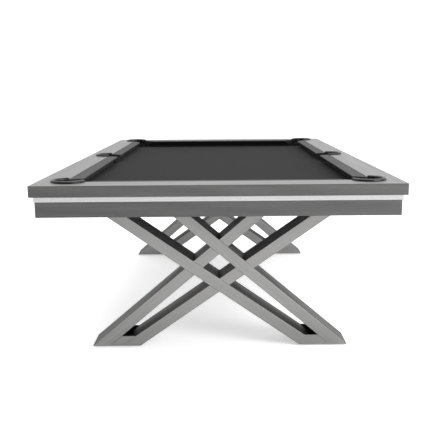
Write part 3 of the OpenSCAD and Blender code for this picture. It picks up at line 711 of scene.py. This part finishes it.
def cushionProfile():
    nose = (table["noseRadius"], table["bedTop"] + table["noseHeight"])
    low, top = table["bedTop"] + cushion["bedGap"], table["railTop"]
    first = math.radians(cushion["noseFrom"])
    last = math.radians(270 - table["undercut"])
    points = []
    for step in range(cushion["noseSteps"] + 1):
        angle = first + (last - first)*step/cushion["noseSteps"]
        points.append((nose[0] + table["noseRadius"]*math.cos(angle),
                       nose[1] + table["noseRadius"]*math.sin(angle)))
    start, end = points[0], points[-1]
    crowned = []
    for share in (0.93, 0.8, 0.6, 0.4, 0.2):
        out = start[0] + (grooveOut - start[0])*share
        rise = start[1] + (top - start[1])*share + cushion["crown"]*4*share*(1 - share)
        crowned.append((out, rise))
    skirt = table["rubberDepth"] - table["clothThick"]
    underSlope = math.tan(math.radians(table["undercut"]))
    under = [(end[0] + (skirt - end[0])*share, end[1] - underSlope*(skirt - end[0])*share)
             for share in (0.33, 0.66, 0.94)]
    kneeHeight = end[1] - underSlope*(skirt - end[0])
    knee = [(skirt - 0.0004, kneeHeight + 0.0006), (skirt, kneeHeight - 0.0008)]
    return ([(grooveOut - 0.0004, top - 0.0055), (grooveOut - 0.0005, top - 0.0010),
             (grooveOut - 0.0011, top - 0.0002)]
            + crowned + points + under + knee + [(skirt, low + 0.0012), (skirt + 0.0008, low),
                    (grooveOut - 0.0004, low)])


def cutRun(bm, run):
    corner = math.radians(table["cornerFacing"])
    side = math.radians(table["sideFacing"])
    for end, isSide, sign in (("low", run["lowIsSide"], -1), ("high", run["highIsSide"], 1)):
        tip = run[end]
        if isSide:
            cuts = [((0, tip, 0), (-math.sin(side), math.cos(side), 0)),
                    ((0.0285, tip + sign*0.0062, 0), (0.313, 0.95, 0))]
        else:
            cuts = [((0, tip, 0), (-math.cos(corner), math.sin(corner), 0))]
        for place, normal in cuts:
            bmesh.ops.bisect_plane(bm, geom=bm.verts[:] + bm.edges[:] + bm.faces[:], dist=1e-7,
                                   plane_co=place,
                                   plane_no=(normal[0], sign*normal[1], 0), clear_outer=True)
            bmesh.ops.holes_fill(bm, edges=[e for e in bm.edges if e.is_boundary], sides=0)


def extrudeRun(bm, points, low, high, pieces):
    verts = [bm.verts.new((out, low, z)) for out, z in points]
    edges = [bm.edges.new(pair) for pair in zip(verts, verts[1:] + verts[:1])]
    for _ in range(pieces):
        made = bmesh.ops.extrude_edge_only(bm, edges=edges)
        edges = ofKind(made["geom"], "BMEdge")
        moved = ofKind(made["geom"], "BMVert")
        bmesh.ops.translate(bm, verts=moved, vec=(0, (high - low)/pieces, 0))
        edges = [e for e in edges if all(v in moved for v in e.verts)]


def makeCushion(name, run):
    pieces = round((run["high"] - run["low"])/cushion["length"])
    bm = bmesh.new()
    extrudeRun(bm, cushionProfile(), run["low"] - cushion["reach"], run["high"] + cushion["reach"], pieces)
    cutRun(bm, run)
    bmesh.ops.remove_doubles(bm, verts=bm.verts, dist=1e-6)
    bmesh.ops.recalc_face_normals(bm, faces=bm.faces)
    caps = [f for f in bm.faces if abs(f.normal.y) > 0.5]
    rims = list(dict.fromkeys(e for f in caps for e in f.edges if not all(g in caps for g in e.link_faces)))
    easeEdges(bm, rims, cushion["endRound"], 3, clamp=True)
    placeAll(bm, runPlace(run))
    piece = finishPiece(bm, f"cushion_cloth_{name}", tableBody, shadeDarkCushionCloth, [f"cushion_{name}"],
                        40)
    return piece


def makeFeatherStrips():
    bm = bmesh.new()
    top, foot = table["railTop"], table["railTop"] - table["featherDepth"]
    low, high = grooveOut + 0.0002, table["cushionWidth"] - 0.0002
    points = [(low, foot), (high, foot), (high, top - 0.0012), (high - 0.0008, top - 0.0002),
              ((low + high)/2, top + 0.0001),
              (low + 0.0008, top - 0.0002), (low, top - 0.0012)]
    for run in cushionRuns.values():
        strip = bmesh.new()
        ends = [run[end] + sign*(-0.0006 if isSide else cornerTip - 0.0283)
                for end, isSide, sign in (("low", run["lowIsSide"], -1), ("high", run["highIsSide"], 1))]
        extrudeRun(strip, points, *ends, round((ends[1] - ends[0])/cushion["length"]))
        closeAndOrient(strip)
        placeAll(strip, runPlace(run))
        mesh = bpy.data.meshes.new("strip")
        strip.to_mesh(mesh)
        strip.free()
        bm.from_mesh(mesh)
        bpy.data.meshes.remove(mesh)
    finishPiece(bm, "feather_strips_cloth", tableBody, shadeDarkCushionCloth, ["feather_strips"])


cushionPieces = [makeCushion(name, run) for name, run in cushionRuns.items()]
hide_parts("cushion_cloths", "cushion_facings")
makeFeatherStrips()
print("cushions made")


# bed cloth: drawn flat over the slates and turned down over their edge at each pocket
bedSheet = {"thick": 0.0009, "turnDown": 0.013, "arcStep": 5, "border": 0.004}


def bedOutline():
    low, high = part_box("bed_cloth")
    reachX, reachY = high.x, high.y
    hole = basketRadius + table["basketGap"]
    cornerX, cornerY = halfWidth + table["cornerSet"], halfLength + table["cornerSet"]
    sideX = halfWidth + table["sideSet"]
    quarter = []
    sideEnd = math.degrees(math.acos(min(1, (reachX - sideX)/hole)))
    angle = 180
    while angle > sideEnd:
        quarter.append((sideX + hole*math.cos(math.radians(angle)), hole*math.sin(math.radians(angle))))
        angle -= bedSheet["arcStep"]
    quarter.append((reachX, hole*math.sin(math.radians(sideEnd))))
    quarter.append((reachX, cornerY - hole))
    for angle in range(-90, -271, -bedSheet["arcStep"]):
        quarter.append((cornerX + hole*math.cos(math.radians(angle)),
                        cornerY + hole*math.sin(math.radians(angle))))
    quarter.append((cornerX - hole, reachY))
    return quarter


def makeBedCloth():
    quarter = bedOutline()
    loop = quarter + [(-x, y) for x, y in reversed(quarter)]
    loop += [(-x, -y) for x, y in quarter[1:]] + [(x, -y) for x, y in reversed(quarter[1:])]
    clean = []
    for point in loop:
        if not clean or math.dist(point, clean[-1]) > 1e-5:
            clean.append(point)
    if math.dist(clean[0], clean[-1]) < 1e-5:
        clean.pop()
    bm = bmesh.new()
    top = table["bedTop"]
    verts = [bm.verts.new((x, y, top)) for x, y in clean]
    bm.faces.new(verts)
    area = sum(f.calc_area() for f in bm.faces)
    bmesh.ops.inset_region(bm, faces=bm.faces[:], thickness=bedSheet["border"], use_boundary=True,
                           use_even_offset=True)
    centres = [Vector((*p["centre"], 0)) for p in pockets.values()]
    hole = basketRadius + table["basketGap"]

    def atHole(vert):
        return next((c for c in centres if abs((vert.co.xy - c.xy).length - hole) < 0.0006), None)

    edges = [e for e in bm.edges if e.is_boundary and all(atHole(v) is not None for v in e.verts)]
    for inward, down in ((0.0006, 0.0002), (0.0005, 0.0007), (0.0001, bedSheet["turnDown"])):
        made = bmesh.ops.extrude_edge_only(bm, edges=edges)
        moved = ofKind(made["geom"], "BMVert")
        for vert in moved:
            centre = min(centres, key=lambda c: (vert.co.xy - c.xy).length)
            pull = (centre.xy - vert.co.xy).normalized()*inward
            vert.co += Vector((pull.x, pull.y, -down))
        edges = [g for g in made["geom"] if isinstance(g, bmesh.types.BMEdge) and all(v in moved
                for v in g.verts)]
    bmesh.ops.recalc_face_normals(bm, faces=bm.faces)
    if max(bm.faces, key=lambda f: f.calc_area()).normal.z < 0:
        bmesh.ops.reverse_faces(bm, faces=bm.faces)
    area += 2*math.pi*hole*bedSheet["turnDown"]*3
    piece = finishPiece(bm, "bed_wool", tableBody, bedCloth, ["bed_cloth"], 50)
    thick = piece.modifiers.new("clothThickness", "SOLIDIFY")
    thick.thickness = bedSheet["thick"]
    thick.offset = -1


makeBedCloth()
print("bed cloth made")


# legs: the tubes' long edges rounded, and welds in the corners where they meet
apron = {"ease": 0.0015, "segments": 2}
leg = {"round": 0.0018, "segments": 3, "weld": 0.0018, "ripple": 0.004, "width": 0.050, "depth": 0.150,
       "height": 0.644, "steep": (0.535, -0.223), "shallow": (0.405, -0.518)}


def lean(tube):
    return (tube[1] - tube[0])/leg["height"]


def easedCopy(nodeName, newName, material, width, segments, directions):
    bm = bmesh.new()
    bm.from_mesh(nodes[nodeName].data)
    bmesh.ops.remove_doubles(bm, verts=bm.verts, dist=1e-6)
    bmesh.ops.dissolve_limit(bm, angle_limit=math.radians(0.5), verts=bm.verts, edges=bm.edges)
    wanted = []
    for edge in bm.edges:
        along = (edge.verts[1].co - edge.verts[0].co)
        if along.length < 4*width or len(edge.link_faces) != 2 or edge.calc_face_angle(0) < math.radians(60):
            continue
        if any(abs(along.normalized().dot(Vector(d).normalized())) > 0.9995 for d in directions):
            wanted.append(edge)
    easeEdges(bm, wanted, width, segments, clamp=True)
    piece = finishPiece(bm, newName, tableBody, material, [nodeName], 50)
    even = piece.modifiers.new("flatFaces", "WEIGHTED_NORMAL")
    even.keep_sharp = True
    even.weight = 100


def cornerOf(tubeA, sideA, tubeB, sideB):
    ends = []
    for tube, side in ((tubeA, sideA), (tubeB, sideB)):
        ends.append((lean(tube), tube[0] + side*leg["width"]/2*math.sqrt(1 + lean(tube)**2)))
    z = (ends[1][1] - ends[0][1])/(ends[0][0] - ends[1][0])
    return ends[0][0]*z + ends[0][1], z


def makeWelds(name, ySign):
    bm = bmesh.new()
    turned = -ySign
    middle = -turned*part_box("leg_front_through_steep")[0].y - turned*leg["depth"]/2
    count = int(leg["depth"]/leg["ripple"])*2
    for tubeA in (leg["steep"], leg["shallow"]):
        for tubeB in (leg["steep"], leg["shallow"]):
            crossed = (-tubeB[0], -tubeB[1])
            for sideA in (-1, 1):
                for sideB in (-1, 1):
                    x, z = cornerOf(tubeA, sideA, crossed, sideB)
                    known = len(bm.verts)
                    bead = bmesh.ops.create_cone(bm, segments=10, radius1=leg["weld"], radius2=leg["weld"],
                                                 depth=leg["depth"] - 0.006, cap_ends=True)
                    verts = bead["verts"]
                    lengthways = list(dict.fromkeys(e for v in verts for e in v.link_edges
                                       if abs(e.verts[0].co.z - e.verts[1].co.z) > 0.01))
                    bmesh.ops.subdivide_edges(bm, edges=lengthways, cuts=count, use_grid_fill=True)
                    for vert in list(bm.verts)[known:]:
                        wave = 1 + 0.07*math.cos(2*math.pi*vert.co.z/leg["ripple"])
                        vert.co.x *= wave
                        vert.co.y *= wave
                        vert.co = (turned*x + vert.co.x, middle + vert.co.z, z + vert.co.y)
    bmesh.ops.recalc_face_normals(bm, faces=bm.faces)
    finishPiece(bm, f"leg_{name}_welds", tableBody, plateSteel)


def makeLegs():
    slopes = {"through_steep": [lean(leg["steep"])], "through_shallow": [lean(leg["shallow"])],
              "spliced": [-lean(leg["steep"]), -lean(leg["shallow"])]}
    for name, ySign in (("front", -1), ("rear", 1)):
        for kind, bare in slopes.items():
            real = [slope*-ySign for slope in bare]
            turn = math.degrees(math.atan2(1, sum(real)/len(real)))
            metal = metalMaterial(f"legSteel_{name}_{kind}", legSteel, (0, turn, 0),
                                  (0.3*ySign, 0.2, 0.1*len(kind)))
            easedCopy(f"leg_{name}_{kind}", f"leg_{name}_{kind}_tube", metal, leg["round"],
                      leg["segments"],
                      [(slope, 0, 1) for slope in real])
        makeWelds(name, ySign)


makeLegs()
for end in ("front", "rear"):
    easedCopy(f"apron_{end}", f"apron_{end}_board", woods["endApron"], apron["ease"],
              apron["segments"],
              [(1, 0, 0)])
for side in ("left", "right"):
    easedCopy(f"apron_{side}", f"apron_{side}_board", woods["sideApron"], apron["ease"],
              apron["segments"],
              [(0, 1, 0)])
print("legs and aprons made")


# levelling feet: a ribbed nylon pad, and a threaded stud that turns in it
foot = {"ribs": 24, "ribEase": 0.0004, "rod": 0.006, "pitch": 0.00175, "threadDepth": 0.0009, "steps": 20}


def makeFoot(name):
    low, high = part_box(f"leveler_pad_{name}")
    middle = Matrix.Translation(((low.x + high.x)/2, (low.y + high.y)/2, 0))
    radius, top = high.x - (low.x + high.x)/2, high.z
    studLow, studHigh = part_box(f"leveler_stud_{name}")
    flange = (studHigh.x - studLow.x)/2
    bm = bmesh.new()
    spinProfile(bm, [(0, 0), (radius - 0.0009, 0), (radius - 0.0001, 0.0007), (radius - 0.0001, 0.0022),
                     (radius - 0.0012, 0.0034), (radius*0.62, top - 0.0010), (radius*0.60, top - 0.0001),
                     (flange + 0.0012, top), (flange + 0.0002, top - 0.0004), (flange + 0.0002,
                             studLow.z - 0.0001),
                     (0, studLow.z - 0.0001)], 2*math.pi, 72, closed=False)
    closeAndOrient(bm)
    for index in range(foot["ribs"]):
        turn = Matrix.Rotation(2*math.pi*index/foot["ribs"], 4, "Z")
        rib = Matrix.Translation((radius*0.79, 0, 0.0031)) @ Matrix.Diagonal((radius*0.36, 0.0016, 0.0026, 1))
        made = bmesh.ops.create_cube(bm, size=1, matrix=turn @ rib)
        edges = list(dict.fromkeys(e for v in made["verts"] for e in v.link_edges))
        easeEdges(bm, edges, foot["ribEase"], 1)
    placeAll(bm, middle)
    finishPiece(bm, f"foot_pad_{name}", f"foot_{name}", padNylon, [f"leveler_pad_{name}"])

    bm = bmesh.new()
    rod = foot["rod"]
    root = rod - foot["threadDepth"]
    tip = studHigh.z
    spinProfile(bm, [(0, studLow.z), (flange - 0.0004, studLow.z), (flange, studLow.z + 0.0004),
                     (flange, top - 0.0004),
                     (flange - 0.0004, top), (root, top + 0.0002), (root, tip - 0.0008), (root - 0.0012,
                             tip), (0, tip)],
                2*math.pi, 40, closed=False)
    closeAndOrient(bm)
    turns = int((tip - top - 0.0035)/foot["pitch"])
    third = foot["pitch"]/3
    start = top + 0.0012
    verts, edges = profileLoop(bm, [(root - 0.0003, start - third*1.2), (rod, start - third*0.2),
                                    (rod, start + third*0.2),
                                    (root - 0.0003, start + third*1.2)])
    bmesh.ops.spin(bm, geom=verts + edges, cent=(0, 0, 0), axis=(0, 0, 1),
                   dvec=(0, 0, foot["pitch"]/foot["steps"]),
                   angle=2*math.pi*turns, steps=foot["steps"]*turns, use_merge=False, use_duplicate=False)
    closeAndOrient(bm)
    placeAll(bm, middle)
    finishPiece(bm, f"foot_stud_{name}", f"stud_{name}", zincPlate, [f"leveler_stud_{name}"])


for end in ("front", "rear"):
    for side in ("left", "right"):
        makeFoot(f"{end}_{side}")
print("levelling feet made")


# fasteners: hex rail bolts with washers, and socket-headed leg bolts with nuts
bolt = {"pitch": 0.280, "set": 0.078, "railRadius": 0.004, "railHead": 0.0075, "washer": 0.008,
        "washerThick": 0.0014, "legRadius": 0.005, "legHead": 0.0085, "legHeadHigh": 0.0065,
        "socketRim": 0.0040, "socketDeep": 0.0035, "innerX": 0.1115, "plateInset": 0.0125,
        "nutWide": 1.7, "nutHigh": 1.3}


def addRod(bm, radius, low, high, place, segments=16):
    return bmesh.ops.create_cone(bm, segments=segments, radius1=radius, radius2=radius, depth=high - low,
                                 cap_ends=True,
                                 matrix=Matrix.Translation((*place, (low + high)/2)))


def addHead(bm, radius, low, high, place, segments, ease):
    made = addRod(bm, radius, low, high, place, segments)
    lowEdges = [e for e in dict.fromkeys(e for v in made["verts"] for e in v.link_edges)
                if all(abs(v.co.z - low) < 1e-6 for v in e.verts)]
    easeEdges(bm, lowEdges, ease, 2)


def cutSocket(bm, rim, depth, place, low):
    face = min((f for f in bm.faces if abs(f.calc_center_median().z - low) < 1e-5),
               key=lambda f: (f.calc_center_median().xy - Vector(place)).length)
    bmesh.ops.inset_individual(bm, faces=[face], thickness=rim)
    made = bmesh.ops.extrude_discrete_faces(bm, faces=[face])
    bmesh.ops.translate(bm, verts=made["faces"][0].verts, vec=(0, 0, depth))


def makeBolts():
    low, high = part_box("rail_bolts")
    places = [(k*bolt["pitch"], s*(halfLength + bolt["set"])) for s in (-1, 1) for k in (-1, 0, 1)]
    places += [(s*(halfWidth + bolt["set"]), t*k*bolt["pitch"]) for s in (-1, 1) for t in (-1, 1)
               for k in (1, 2, 3)]
    head = 1.5*bolt["railRadius"]
    seat = low.z + head
    bm = bmesh.new()
    for place in places:
        addHead(bm, bolt["railHead"], low.z, seat - bolt["washerThick"], place, 6, 0.0006)
        addHead(bm, bolt["washer"], seat - bolt["washerThick"], seat, place, 32, 0.0003)
        addRod(bm, bolt["railRadius"], seat, high.z, place)
    finishPiece(bm, "rail_bolts_zinc", tableBody, zincPlate, ["rail_bolts"])

    low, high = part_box("leg_bolts")
    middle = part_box("leg_front_through_steep")
    legPlace = -(middle[0].y + middle[1].y)/2
    nutRadius = bolt["nutWide"]*bolt["legRadius"]/math.cos(math.radians(30))
    outX = high.x - nutRadius
    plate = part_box("head_plates")
    offset = (plate[1].y - legPlace) - bolt["plateInset"]
    bm = bmesh.new()
    nutLow = high.z - bolt["nutHigh"]*bolt["legRadius"]
    for s in (-1, 1):
        for k in (-1, 1):
            for x in (-outX, -bolt["innerX"], bolt["innerX"], outX):
                place = (x, s*legPlace + k*offset)
                addHead(bm, bolt["legHead"], low.z, low.z + bolt["legHeadHigh"], place, 32, 0.0008)
                cutSocket(bm, bolt["socketRim"], bolt["socketDeep"], place, low.z)
                addRod(bm, bolt["legRadius"], low.z + bolt["legHeadHigh"], high.z, place)
                addRod(bm, nutRadius, nutLow, high.z - 0.0005, place, 6)
    finishPiece(bm, "leg_bolts_zinc", tableBody, zincPlate, ["leg_bolts"])


makeBolts()
print("fasteners made")


# finishes of the CAD parts that stay
def dress(material, *names):
    for name in names:
        data = nodes[name].data
        data.materials.clear()
        data.materials.append(material)


dress(slateStone, "slate_front", "slate_centre", "slate_rear")
dress(woods["hiddenLong"], "slate_liners", "subrails", "corner_blocks")
dress(woods["endRail"], "rail_front", "rail_rear")
dress(woods["sideRail"], "rail_left_front", "rail_left_rear", "rail_right_front", "rail_right_rear")
dress(stripMetal, "accent_strips")
dress(frameCoat, "subframe")
dress(plateSteel, "leg_gussets", "foot_plates", "head_plates")
dress(zincPlate, "slate_screws")
print("finishes given")
